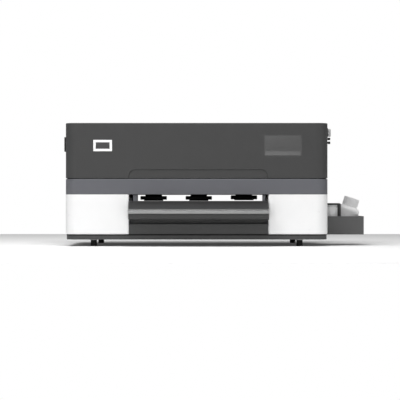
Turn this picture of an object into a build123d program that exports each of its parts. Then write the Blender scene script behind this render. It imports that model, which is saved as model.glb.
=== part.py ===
from build123d import *
import math
import os

# Desktop UV printer, fed from a roll. Millimetres, +Z up, front face towards -Y.
# The origin is the bottom centre of the whole machine with its ink tray and roll holder.
# Places are given as x from the machine's centre line and y back from the front face.

os.makedirs("parts", exist_ok=True)

# ---- driving dimensions ----
BODY_W = 1006
BODY_D = 640
CORNER_R = 46
HALF = BODY_W / 2
TRAY_REACH = 149          # ink tray beyond the right side
VENT_REACH = 7            # exhaust vent beyond the left side
APRON_REACH = 75          # apron nose in front of the covers
ROLL_REACH = 95           # roll holder behind the rear face
MX = (VENT_REACH - TRAY_REACH) / 2
FRONT = (APRON_REACH - BODY_D - ROLL_REACH) / 2

# heights
FOOT_H = 26
PAN_TOP = 42
COVER_Z = 46
MID_Z = 198.5
MID_TOP = 258
LID_Z = 261
LID_TOP = 472
FLOOR_T = 2.5
FLOOR_Z = FOOT_H + FLOOR_T
PLATEN_Z = 173.5

# shells
COVER_T = 3
LID_T = 3.5
CLEAR = 0.3               # between pieces of different bodies
PIN_CLEAR = 0.06          # radial, at pins and journals

# opening between the white covers
OPEN_X0 = -259
OPEN_X1 = 274

# chassis plates and gantry
PLATE_X = 482
BEAM_Y0 = 330
BEAM_Y1 = 390
BEAM_Z0 = 235
BEAM_Z1 = 315
RAIL_Y = 318
RAIL_Z0 = 268
RAIL_Z1 = 282
PULLEY_X = 465
PULLEY_Z = 306
PULLEY_R = 12.7
PULLEY_SHAFT_R = 4
BELT_Y0 = 312.3
BELT_Y1 = 321.7
BELT_T = 1.5
PARK_X = 375              # carriage at rest, centre
CARRIAGE_HALF = 94
HEAD_Z = 177
DECK_Z = 226
HEAD_Y0 = 146
HEAD_Y1 = 226

# feed and pinch rollers
ROLLER_Y = 250
FEED_R = 12
FEED_Z = PLATEN_Z + 0.2 - FEED_R
FEED_SHAFT_R = 4
PINCH_R = 8
PINCH_Z = FEED_Z + FEED_R + CLEAR + PINCH_R
PINCH_W = 76
PIVOT_Y = 285
PIVOT_Z = 212
PIVOT_R = 4
NECK_BOSS_R = 8
ARM_W = 104
ARM_NECK_W = 66
ARM_CENTRES = (-170.5, 8, 186.5)
ARM_REST_ANGLE = (0, 0, 3.6)   # degrees; the right arm stands a little raised

# lid hinge
HINGE_Y = 647
HINGE_Z = 260
HINGE_PIN_R = 2.5
KNUCKLE_R = 5.5
HINGE_CENTRES = (-380, 380)
HINGE_W = 90

# roll holder
ROLL_Y = 700
ROLL_Z = 128
ROLL_R = 12.5
ROLL_JOURNAL_R = 8
BRACKET_X = 300

# ink tray
TRAY_Y0 = 150
TRAY_Y1 = 400
TRAY_Z0 = 42.7
TRAY_Z1 = 114
TRAY_T = 2

# rear panel fittings
PANEL_TOP = 165
FAN_X = -160
FAN_Z = 105
FAN_SIZE = 80
INLET_X = 170
INLET_Z = 100
ROCKER_X = 222


def place(x, y):
    """A point given from the centre line and the front face, in the machine's frame."""
    return (MX + x, FRONT + y)


def block(x_range, y_range, z_range, mode=Mode.ADD):
    """A box given by its limits."""
    (x0, x1), (y0, y1), (z0, z1) = x_range, y_range, z_range
    x, y = place((x0 + x1) / 2, (y0 + y1) / 2)
    with Locations((x, y, (z0 + z1) / 2)):
        return Box(x1 - x0, y1 - y0, z1 - z0, mode=mode)


def rod_x(x_range, y, z, radius, mode=Mode.ADD):
    """A cylinder along X."""
    x, y = place((x_range[0] + x_range[1]) / 2, y)
    with Locations(Location((x, y, z), (0, 90, 0))):
        return Cylinder(radius, x_range[1] - x_range[0], mode=mode)


def rod_y(x, y_range, z, radius, mode=Mode.ADD):
    """A cylinder along Y."""
    x, y = place(x, (y_range[0] + y_range[1]) / 2)
    with Locations(Location((x, y, z), (90, 0, 0))):
        return Cylinder(radius, y_range[1] - y_range[0], mode=mode)


def rod_z(x, y, z_range, radius, mode=Mode.ADD):
    """A cylinder along Z."""
    x, y = place(x, y)
    with Locations((x, y, (z_range[0] + z_range[1]) / 2)):
        return Cylinder(radius, z_range[1] - z_range[0], mode=mode)


def body_plan(z, inset):
    """The case's rounded outline, pulled in by inset, as a sketch at height z."""
    with BuildSketch(Plane.XY.offset(z)) as plan:
        with Locations(place(0, BODY_D / 2)):
            RectangleRounded(BODY_W - 2 * inset, BODY_D - 2 * inset, CORNER_R - inset)
    return plan.sketch


def side_sketch(points, x):
    """A closed outline in the plane across the machine at x; points are (y back, z)."""
    with BuildSketch(Plane.YZ.offset(MX + x)) as outline:
        with BuildLine():
            Polyline([(FRONT + y, z) for y, z in points], close=True)
        make_face()
    return outline.sketch


# ---- base: pan, feet ----
PAN_INSET = 3.5
RISER_INSET = 11
RIM_T = 3
FOOT_R = 12
FOOT_X = 396
FOOT_YS = (60, 580)
STAND_BOLT_R = 3.3
STAND_X = 440
STAND_YS = (160, 480)

with BuildPart() as base_plate:
    extrude(body_plan(FOOT_H, PAN_INSET), amount=PAN_TOP - FOOT_H)
    fillet(base_plate.faces().sort_by(Axis.Z)[0].edges(), 2)
    extrude(body_plan(PAN_TOP, RISER_INSET), amount=COVER_Z - PAN_TOP)
    well_top = PAN_TOP - RIM_T
    extrude(body_plan(FLOOR_Z, PAN_INSET + RIM_T), amount=well_top - FLOOR_Z, mode=Mode.SUBTRACT)
    extrude(body_plan(well_top, RISER_INSET + RIM_T), amount=COVER_Z - well_top, mode=Mode.SUBTRACT)
    with Locations(*[(*place(x, y), FOOT_H) for x in (-STAND_X, STAND_X) for y in STAND_YS]):
        Cylinder(STAND_BOLT_R, 4 * FLOOR_T, mode=Mode.SUBTRACT)

base_plate.part.label = "base_plate"
export_step(base_plate.part, "parts/base_plate.step")

with BuildPart() as rubber_feet:
    for x in (-FOOT_X, FOOT_X):
        for y in FOOT_YS:
            rod_z(x, y, (0, FOOT_H), FOOT_R)
    chamfer(rubber_feet.faces().group_by(Axis.Z)[0].edges(), 1.5)

rubber_feet.part.label = "rubber_feet"
export_step(rubber_feet.part, "parts/rubber_feet.step")

# ---- white side covers ----
COVER_EDGE_R = 6
RETURN_DEPTH = 80
LIP_W = 11


def cover_outline(z, x_outer, x_inner, inset):
    """Plan of one side cover: big radii at the case's corners, small ones at the opening."""
    side = math.copysign(1, x_outer)
    width = abs(x_outer - x_inner) - 2 * inset
    with BuildSketch(Plane.XY.offset(z)) as outline:
        with Locations(place((x_outer + x_inner) / 2, BODY_D / 2)):
            Rectangle(width, BODY_D - 2 * inset)
        by_x = outline.vertices().group_by(Axis.X)
        fillet(by_x[-1] if side > 0 else by_x[0], CORNER_R - inset)
        by_x = outline.vertices().group_by(Axis.X)
        fillet(by_x[0] if side > 0 else by_x[-1], max(COVER_EDGE_R - inset, 1))
    return outline.sketch


def side_cover(x_outer, x_inner):
    """A moulded cover: walls outside, a return into the opening, a lip along the bottom."""
    inward = -math.copysign(1, x_outer)
    with BuildPart() as cover:
        extrude(cover_outline(COVER_Z, x_outer, x_inner, 0), amount=MID_Z - COVER_Z)
        fillet(cover.faces().sort_by(Axis.Z)[0].edges(), COVER_EDGE_R - 1)
        inside = cover_outline(COVER_Z + COVER_T, x_outer, x_inner, COVER_T)
        extrude(inside, amount=MID_Z, mode=Mode.SUBTRACT)
        bottom_opening = cover_outline(COVER_Z, x_outer, x_inner, COVER_T + LIP_W)
        extrude(bottom_opening, amount=2 * COVER_T, mode=Mode.SUBTRACT)
        doorway = sorted((x_inner - inward * (COVER_T + LIP_W + 1), x_inner + inward))
        block(doorway, (RETURN_DEPTH, BODY_D - RETURN_DEPTH), (COVER_Z - 1, MID_Z + 1), Mode.SUBTRACT)
    return cover


left_side_cover = side_cover(-HALF, OPEN_X0)
left_side_cover.part.label = "left_side_cover"
export_step(left_side_cover.part, "parts/left_side_cover.step")

right_side_cover = side_cover(HALF, OPEN_X1)
right_side_cover.part.label = "right_side_cover"
export_step(right_side_cover.part, "parts/right_side_cover.step")

# ---- grey mid frame under the lid ----
FLANGE_T = 3
FLANGE_W = 9

with BuildPart() as mid_frame:
    extrude(body_plan(MID_Z, 0), amount=MID_TOP - MID_Z)
    fillet(mid_frame.faces().sort_by(Axis.Z)[-1].edges(), 2)
    fillet(mid_frame.faces().sort_by(Axis.Z)[0].edges(), 1.5)
    extrude(body_plan(MID_Z, COVER_T + FLANGE_W), amount=MID_TOP - MID_Z, mode=Mode.SUBTRACT)
    extrude(body_plan(MID_Z + FLANGE_T, COVER_T), amount=MID_TOP - MID_Z - 2 * FLANGE_T, mode=Mode.SUBTRACT)

mid_frame.part.label = "mid_frame"
export_step(mid_frame.part, "parts/mid_frame.step")

with BuildPart() as lid_bumpers:
    for x in (-378, 378):
        block((x - 17, x + 17), (1.5, 10), (MID_TOP, LID_Z - CLEAR))

lid_bumpers.part.label = "lid_bumpers"
export_step(lid_bumpers.part, "parts/lid_bumpers.step")

# ---- front: platen, apron, trim, lower panel, cheeks ----
PANEL_X0 = OPEN_X0 + 0.5
PANEL_X1 = OPEN_X1 - 0.5
PANEL_Y = 6
PANEL_STEP_Z = 85         # above it the panel is set back, under the apron
PANEL_BACK_Y = 30
PANEL_BACK_TOP = 118
SHEET_T = 2
NOSE_Y = 1.5 - APRON_REACH
APRON_T = 2
TRIM_Z0 = 126
TRIM_Z1 = 137.5
APRON_REAR = 4
APRON_TOP = 173
NOSE_TOP = 142            # where the slope meets the nose, before its 2 mm corner
NOSE_BOTTOM = 122
NOSE_CORNER = 2
BELLY_Y = -48             # the rounded underside runs back to here
BELLY_Z = 103
APRON_WINDOW = (110, 168)

with BuildPart() as lower_front_panel:
    panel_x = (PANEL_X0, PANEL_X1)
    block(panel_x, (PANEL_Y, PANEL_Y + SHEET_T), (COVER_Z, PANEL_STEP_Z))
    for z in (COVER_Z, PANEL_STEP_Z - SHEET_T):
        block(panel_x, (PANEL_Y, PANEL_BACK_Y), (z, z + SHEET_T))
    block(panel_x, (PANEL_BACK_Y - SHEET_T, PANEL_BACK_Y), (PANEL_STEP_Z - SHEET_T, PANEL_BACK_TOP))

lower_front_panel.part.label = "lower_front_panel"
export_step(lower_front_panel.part, "parts/lower_front_panel.step")


def apron_outline(x, inset):
    """Side view of the apron: slope down to the nose, rounded back underneath."""
    with BuildSketch(Plane.YZ.offset(MX + x)) as outline:
        with BuildLine():
            slope = Polyline(
                (FRONT + APRON_REAR, APRON_TOP),
                (FRONT - NOSE_CORNER, APRON_TOP),
                (FRONT + NOSE_Y + NOSE_CORNER, NOSE_TOP + 1),
                (FRONT + NOSE_Y, NOSE_TOP - NOSE_CORNER),
                (FRONT + NOSE_Y, NOSE_BOTTOM + NOSE_CORNER),
                (FRONT + NOSE_Y + NOSE_CORNER, NOSE_BOTTOM),
            )
            belly = TangentArc(slope @ 1, (FRONT + BELLY_Y, BELLY_Z), tangent=(0, -1))
            Polyline(belly @ 1, (FRONT + APRON_REAR, BELLY_Z), slope @ 0)
        make_face()
        if inset:
            offset(amount=-inset, kind=Kind.INTERSECTION, mode=Mode.REPLACE)
    return outline.sketch


with BuildPart() as platen_apron:
    extrude(apron_outline(PANEL_X0, 0), amount=PANEL_X1 - PANEL_X0)
    inner_w = PANEL_X1 - PANEL_X0 - 2 * APRON_T
    extrude(apron_outline(PANEL_X0 + APRON_T, APRON_T), amount=inner_w, mode=Mode.SUBTRACT)
    block((PANEL_X0 + APRON_T, PANEL_X1 - APRON_T), (0, APRON_REAR + 1), APRON_WINDOW, Mode.SUBTRACT)

platen_apron.part.label = "platen_apron"
export_step(platen_apron.part, "parts/platen_apron.step")

with BuildPart() as apron_trim:
    block((PANEL_X0, PANEL_X1), (-APRON_REACH, NOSE_Y), (TRIM_Z0, TRIM_Z1))
    fillet(apron_trim.faces().sort_by(Axis.Y)[0].edges(), 0.6)

apron_trim.part.label = "apron_trim"
export_step(apron_trim.part, "parts/apron_trim.step")

PLATEN_T = 8
PLATEN_Y1 = 235
HOLE_R = 1.5
HOLE_PITCH = 24

with BuildPart() as platen:
    block((PANEL_X0, PANEL_X1), (APRON_REAR, PLATEN_Y1), (PLATEN_Z - PLATEN_T, PLATEN_Z))
    x, y = place(8, 185)
    with Locations((x, y, PLATEN_Z)):
        with GridLocations(HOLE_PITCH, HOLE_PITCH, 18, 3):
            Cylinder(HOLE_R, 3 * PLATEN_T, mode=Mode.SUBTRACT)
    for x in (-225, 240):
        block((x - 3, x + 3), (30, 225), (FLOOR_Z, PLATEN_Z - PLATEN_T))

platen.part.label = "platen"
export_step(platen.part, "parts/platen.step")

CHEEK_Y = (6, 60)
with BuildPart() as slot_cheeks:
    for x_range in ((-243, -226), (252.7, 262)):
        block(x_range, CHEEK_Y, (PLATEN_Z, MID_Z - 0.5))
    fillet(slot_cheeks.edges().filter_by(Axis.Z).group_by(Axis.Y)[0], 2)
    for x_range in ((-257.6, -248.4), (266.3, 273.2)):
        block(x_range, (8, 50), (PLATEN_Z, 185.5))

slot_cheeks.part.label = "slot_cheeks"
export_step(slot_cheeks.part, "parts/slot_cheeks.step")

GUIDE_Y0 = 266
GUIDE_Y1 = 634
GUIDE_Z = 172.5
with BuildPart() as rear_guide:
    block((PANEL_X0, PANEL_X1), (GUIDE_Y0, GUIDE_Y1), (GUIDE_Z - 2, GUIDE_Z))
    for x in (-240, 256):
        block((x - 1, x + 1), (GUIDE_Y0 + 4, GUIDE_Y1 - 40), (FLOOR_Z, GUIDE_Z - 2))
    block((PANEL_X0, PANEL_X1), (GUIDE_Y1 - 2, GUIDE_Y1), (GUIDE_Z - 16, GUIDE_Z - 2))

rear_guide.part.label = "rear_guide"
export_step(rear_guide.part, "parts/rear_guide.step")

# ---- chassis plates, gantry, rail ----
PLATE_T = 3
PLATE_Y = (48, 592)
PLATE_TOP = 326


def chassis_plate(side):
    """An upright steel plate with a foot flange and lightening holes."""
    with BuildPart() as plate:
        block(sorted((side * PLATE_X, side * (PLATE_X + PLATE_T))), PLATE_Y, (FLOOR_Z, 230))
        block(sorted((side * PLATE_X, side * (PLATE_X + PLATE_T))), (230, 450), (230, PLATE_TOP))
        block(sorted((side * PLATE_X, side * (PLATE_X - 22))), PLATE_Y, (FLOOR_Z, FLOOR_Z + PLATE_T))
        for y in (110, 200, 440, 530):
            rod_x(sorted((side * (PLATE_X - 1), side * (PLATE_X + 5))), y, 130, 28, Mode.SUBTRACT)
    return plate


left_chassis_plate = chassis_plate(-1)
left_chassis_plate.part.label = "left_chassis_plate"
export_step(left_chassis_plate.part, "parts/left_chassis_plate.step")

right_chassis_plate = chassis_plate(1)
right_chassis_plate.part.label = "right_chassis_plate"
export_step(right_chassis_plate.part, "parts/right_chassis_plate.step")

BEAM_T = 5
MOTOR_BORE = PULLEY_SHAFT_R + PIN_CLEAR

with BuildPart() as gantry_beam:
    block((-PLATE_X, PLATE_X), (BEAM_Y0, BEAM_Y1), (BEAM_Z0, BEAM_Z1))
    block(
        (-PLATE_X - 1, PLATE_X + 1),
        (BEAM_Y0 + BEAM_T, BEAM_Y1 - BEAM_T),
        (BEAM_Z0 + BEAM_T, PULLEY_Z - 14),
        Mode.SUBTRACT,
    )
    for side in (-1, 1):
        rod_y(side * PULLEY_X, (BEAM_Y0 - 1, BEAM_Y1 + 1), PULLEY_Z, MOTOR_BORE, Mode.SUBTRACT)

gantry_beam.part.label = "gantry_beam"
export_step(gantry_beam.part, "parts/gantry_beam.step")

with BuildPart() as linear_rail:
    block((-470, 470), (RAIL_Y, BEAM_Y0), (RAIL_Z0, RAIL_Z1))
    for z in (RAIL_Z0, RAIL_Z1):
        rod_x((-471, 471), RAIL_Y + 5, z, 1.5, Mode.SUBTRACT)

linear_rail.part.label = "linear_rail"
export_step(linear_rail.part, "parts/linear_rail.step")

# ---- carriage drive: motor, pulleys, belt ----
MOTOR_HALF = 21
BELT_IN_R = PULLEY_R + CLEAR


with BuildPart() as carriage_motor:
    block(
        (-PULLEY_X - 16, -PULLEY_X + 2 * MOTOR_HALF - 16),
        (BEAM_Y1, BEAM_Y1 + 48),
        (PULLEY_Z - 28, PULLEY_Z + 14),
    )
    chamfer(carriage_motor.edges().filter_by(Axis.Y), 3)
    rod_y(-PULLEY_X, (BEAM_Y1 - 1, BEAM_Y1 + 20), PULLEY_Z, MOTOR_BORE, Mode.SUBTRACT)

carriage_motor.part.label = "carriage_motor"
export_step(carriage_motor.part, "parts/carriage_motor.step")


def belt_pulley(side, shaft_end):
    """A toothed belt pulley with two flanges and its own shaft."""
    x = side * PULLEY_X
    with BuildPart() as pulley:
        rod_y(x, (BELT_Y0 - CLEAR, BELT_Y1 + CLEAR), PULLEY_Z, PULLEY_R)
        for flange_y in (BELT_Y0 - CLEAR - 1.2, BELT_Y1 + CLEAR):
            rod_y(x, (flange_y, flange_y + 1.2), PULLEY_Z, PULLEY_R + 2.8)
        rod_y(x, (BELT_Y0 - 4, shaft_end), PULLEY_Z, PULLEY_SHAFT_R)
    return pulley


drive_pulley = belt_pulley(-1, BEAM_Y1 + 18)
drive_pulley.part.label = "drive_pulley"
export_step(drive_pulley.part, "parts/drive_pulley.step")

idler_pulley = belt_pulley(1, BEAM_Y1 - 2)
idler_pulley.part.label = "idler_pulley"
export_step(idler_pulley.part, "parts/idler_pulley.step")

with BuildPart() as carriage_belt:
    with BuildSketch(Plane((MX, FRONT + BELT_Y1, PULLEY_Z), x_dir=(1, 0, 0), z_dir=(0, -1, 0))):
        SlotCenterToCenter(2 * PULLEY_X, 2 * (BELT_IN_R + BELT_T))
        SlotCenterToCenter(2 * PULLEY_X, 2 * BELT_IN_R, mode=Mode.SUBTRACT)
    extrude(amount=BELT_Y1 - BELT_Y0)

carriage_belt.part.label = "carriage_belt"
export_step(carriage_belt.part, "parts/carriage_belt.step")

# ---- carriage: frame, cover, print heads, lamps ----
DECK_T = 5
DECK_Y0 = 138
BLOCK_HALF = 60
BLOCK_TOP = 290
CLAMP_HALF = 18
BELT_RUN_Z = PULLEY_Z - BELT_IN_R - BELT_T
HEAD_CENTRES = (PARK_X - 30, PARK_X + 30)
COVER_TOP = 330

with BuildPart() as carriage_frame:
    block(
        (PARK_X - CARRIAGE_HALF, PARK_X + CARRIAGE_HALF),
        (DECK_Y0, BEAM_Y0 - CLEAR),
        (DECK_Z, DECK_Z + DECK_T),
    )
    for x in HEAD_CENTRES:
        well_y = (HEAD_Y0 + 8, HEAD_Y1 - 8)
        block((x - 20, x + 20), well_y, (DECK_Z - 1, DECK_Z + DECK_T + 1), Mode.SUBTRACT)
    block_x = (PARK_X - BLOCK_HALF, PARK_X + BLOCK_HALF)
    block(block_x, (306, BEAM_Y0 - CLEAR), (DECK_Z + DECK_T, BLOCK_TOP))
    block(
        (PARK_X - BLOCK_HALF - 1, PARK_X + BLOCK_HALF + 1),
        (RAIL_Y - CLEAR, BEAM_Y0),
        (RAIL_Z0 - CLEAR, RAIL_Z1 + CLEAR),
        Mode.SUBTRACT,
    )
    clamp_x = (PARK_X - CLAMP_HALF, PARK_X + CLAMP_HALF)
    block(clamp_x, (306, BELT_Y0 - CLEAR), (BLOCK_TOP, BELT_RUN_Z + BELT_T + 5))
    block(clamp_x, (306, BELT_Y1), (BELT_RUN_Z + BELT_T + CLEAR, BELT_RUN_Z + BELT_T + 5))

carriage_frame.part.label = "carriage_frame"
export_step(carriage_frame.part, "parts/carriage_frame.step")

HOOD_T = 2.5
with BuildPart() as carriage_cover:
    hood_x = (PARK_X - CARRIAGE_HALF, PARK_X + CARRIAGE_HALF)
    block(hood_x, (DECK_Y0, 302), (DECK_Z + DECK_T, COVER_TOP))
    fillet(carriage_cover.edges().filter_by(Axis.Z), 10)
    fillet(carriage_cover.faces().sort_by(Axis.Z)[-1].edges(), 5)
    block(
        (hood_x[0] + HOOD_T, hood_x[1] - HOOD_T),
        (DECK_Y0 + HOOD_T, 302 - HOOD_T),
        (DECK_Z, COVER_TOP - HOOD_T),
        Mode.SUBTRACT,
    )

carriage_cover.part.label = "carriage_cover"
export_step(carriage_cover.part, "parts/carriage_cover.step")

with BuildPart() as print_heads:
    for x in HEAD_CENTRES:
        block((x - 26, x + 26), (HEAD_Y0, HEAD_Y1), (HEAD_Z + 12, DECK_Z))
        block((x - 19, x + 19), (HEAD_Y0 + 6, HEAD_Y1 - 6), (HEAD_Z, HEAD_Z + 12))
        block((x - 19.5, x + 19.5), (HEAD_Y0 + 9, HEAD_Y1 - 9), (DECK_Z, DECK_Z + 62))
        for y in (HEAD_Y0 + 20, HEAD_Y1 - 20):
            rod_z(x, y, (DECK_Z + 62, DECK_Z + 74), 3)

print_heads.part.label = "print_heads"
export_step(print_heads.part, "parts/print_heads.step")

LAMP_W = 27
with BuildPart() as uv_lamps:
    for side in (-1, 1):
        lamp_x = sorted((PARK_X + side * (CARRIAGE_HALF - LAMP_W), PARK_X + side * CARRIAGE_HALF))
        block(lamp_x, (HEAD_Y0, HEAD_Y1), (HEAD_Z + 4, DECK_Z))
        window = (lamp_x[0] + 5, lamp_x[1] - 5)
        block(window, (HEAD_Y0 + 6, HEAD_Y1 - 6), (HEAD_Z + 3, HEAD_Z + 6), Mode.SUBTRACT)
        for i in range(6):
            fin_y = HEAD_Y0 + 8 + 12 * i
            block(window, (fin_y, fin_y + 3), (HEAD_Z + 16, DECK_Z - 4), Mode.SUBTRACT)

uv_lamps.part.label = "uv_lamps"
export_step(uv_lamps.part, "parts/uv_lamps.step")

# ---- feed roller, its bearings and motor ----
FEED_X0 = -276
FEED_X1 = 286
COLUMN_W = 18
FEED_MOTOR_X = (-400, -340)

with BuildPart() as feed_roller:
    rod_x((FEED_X0, FEED_X1), ROLLER_Y, FEED_Z, FEED_R)
    rod_x((FEED_MOTOR_X[1] - 20, FEED_X1 + COLUMN_W + 6), ROLLER_Y, FEED_Z, FEED_SHAFT_R)
    rod_x((FEED_MOTOR_X[1] + 6, FEED_MOTOR_X[1] + 32), ROLLER_Y, FEED_Z, 9)
    for x in ARM_CENTRES:
        for step in range(-4, 5):
            with Locations(Location((MX + x + 9 * step, FRONT + ROLLER_Y, FEED_Z), (0, 90, 0))):
                Cylinder(FEED_R + 1, 1.2, mode=Mode.SUBTRACT)
                Cylinder(FEED_R - 0.6, 1.2, mode=Mode.ADD)

feed_roller.part.label = "feed_roller"
export_step(feed_roller.part, "parts/feed_roller.step")

with BuildPart() as roller_bearings:
    for x_start in (FEED_X0 - 2 - COLUMN_W, FEED_X1 + 2):
        x_range = (x_start, x_start + COLUMN_W)
        block(x_range, (ROLLER_Y - 15, ROLLER_Y + 15), (FLOOR_Z, FEED_Z + 12))
        bore_x = (x_range[0] - 1, x_range[1] + 1)
        rod_x(bore_x, ROLLER_Y, FEED_Z, FEED_SHAFT_R + PIN_CLEAR, Mode.SUBTRACT)

roller_bearings.part.label = "roller_bearings"
export_step(roller_bearings.part, "parts/roller_bearings.step")

with BuildPart() as feed_motor:
    motor_y = (ROLLER_Y - MOTOR_HALF, ROLLER_Y + MOTOR_HALF)
    block(FEED_MOTOR_X, motor_y, (FEED_Z - MOTOR_HALF, FEED_Z + MOTOR_HALF))
    chamfer(feed_motor.edges().filter_by(Axis.X), 3)
    bore_x = (FEED_MOTOR_X[1] - 21, FEED_MOTOR_X[1] + 1)
    rod_x(bore_x, ROLLER_Y, FEED_Z, FEED_SHAFT_R + PIN_CLEAR, Mode.SUBTRACT)
    block(
        (FEED_MOTOR_X[0] + 10, FEED_MOTOR_X[1] - 10),
        (ROLLER_Y - 15, ROLLER_Y + 15),
        (FLOOR_Z, FEED_Z - MOTOR_HALF),
    )

feed_motor.part.label = "feed_motor"
export_step(feed_motor.part, "parts/feed_motor.step")

# ---- pinch arms and pinch rollers ----
with BuildPart() as pinch_shaft:
    rod_x((-PLATE_X, PLATE_X), PIVOT_Y, PIVOT_Z, PIVOT_R)

pinch_shaft.part.label = "pinch_shaft"
export_step(pinch_shaft.part, "parts/pinch_shaft.step")

HOOD_Y0 = 236
HOOD_Y1 = 266
HOOD_TOP = 193
HOOD_SKIN = 2
HOOD_EDGE = 3
AXLE_R = 2.5
WHEEL_GAP = 0.5


def pinch_arm(x):
    """A hood over one pinch roller, on a neck that turns on the pinch shaft."""
    with BuildPart() as arm:
        block((x - ARM_W / 2, x + ARM_W / 2), (HOOD_Y0, HOOD_Y1), (PINCH_Z - 3.5, HOOD_TOP))
        fillet(arm.edges().filter_by(Axis.X).group_by(Axis.Y)[0].group_by(Axis.Z)[-1], HOOD_EDGE)
        fillet(arm.edges().filter_by(Axis.Y).group_by(Axis.Z)[-1], HOOD_EDGE)
        well = PINCH_W / 2 + WHEEL_GAP
        block(
            (x - well, x + well),
            (HOOD_Y0 + HOOD_SKIN, HOOD_Y1 - 3),
            (PINCH_Z - 4.5, HOOD_TOP - HOOD_SKIN),
            Mode.SUBTRACT,
        )
        rod_x((x - ARM_W, x + ARM_W), ROLLER_Y, PINCH_Z, AXLE_R + PIN_CLEAR, Mode.SUBTRACT)
        block((x - ARM_W, x + ARM_W), (HOOD_Y0 - 1, 243), (PINCH_Z - 6, PINCH_Z - 1.5), Mode.SUBTRACT)
        neck_bottom = [(ROLLER_Y, HOOD_TOP - 1), (HOOD_Y1, HOOD_TOP - 5)]
        neck_top = [(PIVOT_Y, PIVOT_Z - 7), (PIVOT_Y, PIVOT_Z + 7), (HOOD_Y1 - 4, HOOD_TOP + 10)]
        extrude(side_sketch(neck_bottom + neck_top, x - ARM_NECK_W / 2), amount=ARM_NECK_W)
        rod_x((x - ARM_NECK_W / 2, x + ARM_NECK_W / 2), PIVOT_Y, PIVOT_Z, NECK_BOSS_R)
        rod_x((x - ARM_W, x + ARM_W), PIVOT_Y, PIVOT_Z, PIVOT_R + PIN_CLEAR, Mode.SUBTRACT)
    return arm


def pinch_roller(x):
    """A rubber-faced pinch roller with its axle."""
    with BuildPart() as roller:
        rod_x((x - PINCH_W / 2, x + PINCH_W / 2), ROLLER_Y, PINCH_Z, PINCH_R)
        chamfer(roller.edges(), 0.8)
        rod_x((x - ARM_W / 2 + 1, x + ARM_W / 2 - 1), ROLLER_Y, PINCH_Z, AXLE_R)
    return roller


PIVOT_AXIS = Axis((MX, FRONT + PIVOT_Y, PIVOT_Z), (-1, 0, 0))
for number, (x, angle) in enumerate(zip(ARM_CENTRES, ARM_REST_ANGLE), start=1):
    arm = pinch_arm(x)
    arm.part = arm.part.rotate(PIVOT_AXIS, angle)
    arm.part.label = f"pinch_arm_{number}"
    export_step(arm.part, f"parts/pinch_arm_{number}.step")
    roller = pinch_roller(x)
    roller.part = roller.part.rotate(PIVOT_AXIS, angle)
    roller.part.label = f"pinch_roller_{number}"
    export_step(roller.part, f"parts/pinch_roller_{number}.step")

# ---- capping station under the parked heads ----
SLED_Z0 = 152
SLED_TOP = HEAD_Z - 0.4
SLED_TRAVEL = 12
SLED_T = 12
CUP_HALF_W = 21
CUP_WALL = 5
CUP_FLOOR = 2
SLED_X = (PARK_X - 70, PARK_X + 70)
POST_R = 4
POSTS = ((PARK_X - 62, 186), (PARK_X + 62, 186))

with BuildPart() as cap_station:
    station_top = SLED_Z0 - SLED_TRAVEL - 1
    block(SLED_X, (HEAD_Y0, HEAD_Y1), (station_top - 8, station_top))
    for x in (SLED_X[0] + 6, SLED_X[1] - 6):
        block((x - 6, x + 6), (HEAD_Y0, HEAD_Y1), (FLOOR_Z, station_top - 8))
    for x, y in POSTS:
        rod_z(x, y, (station_top, SLED_TOP - SLED_TRAVEL + 4), POST_R)

cap_station.part.label = "cap_station"
export_step(cap_station.part, "parts/cap_station.step")

with BuildPart() as cap_sled:
    block(SLED_X, (HEAD_Y0, HEAD_Y1), (SLED_Z0, SLED_Z0 + SLED_T))
    fillet(cap_sled.edges().filter_by(Axis.Z), 5)
    for x in HEAD_CENTRES:
        block((x - CUP_HALF_W, x + CUP_HALF_W), (HEAD_Y0 + 4, HEAD_Y1 - 4), (SLED_Z0 + SLED_T, SLED_TOP))
        cup_half = CUP_HALF_W - CUP_WALL
        cup_y = (HEAD_Y0 + 10, HEAD_Y1 - 10)
        cup_z = (SLED_Z0 + SLED_T + CUP_FLOOR, SLED_TOP + 1)
        block((x - cup_half, x + cup_half), cup_y, cup_z, Mode.SUBTRACT)
    for x, y in POSTS:
        rod_z(x, y, (SLED_Z0 - 1, SLED_TOP + 1), POST_R + 0.08, Mode.SUBTRACT)

cap_sled.part.label = "cap_sled"
export_step(cap_sled.part, "parts/cap_sled.step")

# ---- electronics on the floor behind the rollers ----
SUPPLY_X = (20, 235)
SUPPLY_Y = (300, 415)
SUPPLY_TOP = FLOOR_Z + 50
VENT_R = 3.5
VENT_PITCH = 12
VENT_DEPTH = 1.5

with BuildPart() as power_supply:
    block(SUPPLY_X, SUPPLY_Y, (FLOOR_Z, SUPPLY_TOP))
    fillet(power_supply.edges().filter_by(Axis.Z), 2)
    with Locations((*place(127, 357), SUPPLY_TOP)):
        with GridLocations(VENT_PITCH, VENT_PITCH, 10, 5):
            Cylinder(VENT_R, 2 * VENT_DEPTH, mode=Mode.SUBTRACT)

power_supply.part.label = "power_supply"
export_step(power_supply.part, "parts/power_supply.step")

BOARD_Z = FLOOR_Z + 8
BOARD_T = 1.6
BOARD_X = (-220, -10)
BOARD_Y = (300, 450)
BOARD_POST_R = 3
POST_INSET = 6

with BuildPart() as main_board:
    block(BOARD_X, BOARD_Y, (BOARD_Z, BOARD_Z + BOARD_T))
    for x in (BOARD_X[0] + POST_INSET, BOARD_X[1] - POST_INSET):
        for y in (BOARD_Y[0] + POST_INSET, BOARD_Y[1] - POST_INSET):
            rod_z(x, y, (FLOOR_Z, BOARD_Z), BOARD_POST_R)
    chips = ((-150, 370, 32, 32, 6), (-90, 400, 24, 24, 4), (-72, 330, 50, 12, 12), (-200, 404, 20, 34, 14))
    for x, y, w, d, h in chips:
        block((x, x + w), (y, y + d), (BOARD_Z + BOARD_T, BOARD_Z + BOARD_T + h))

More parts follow.
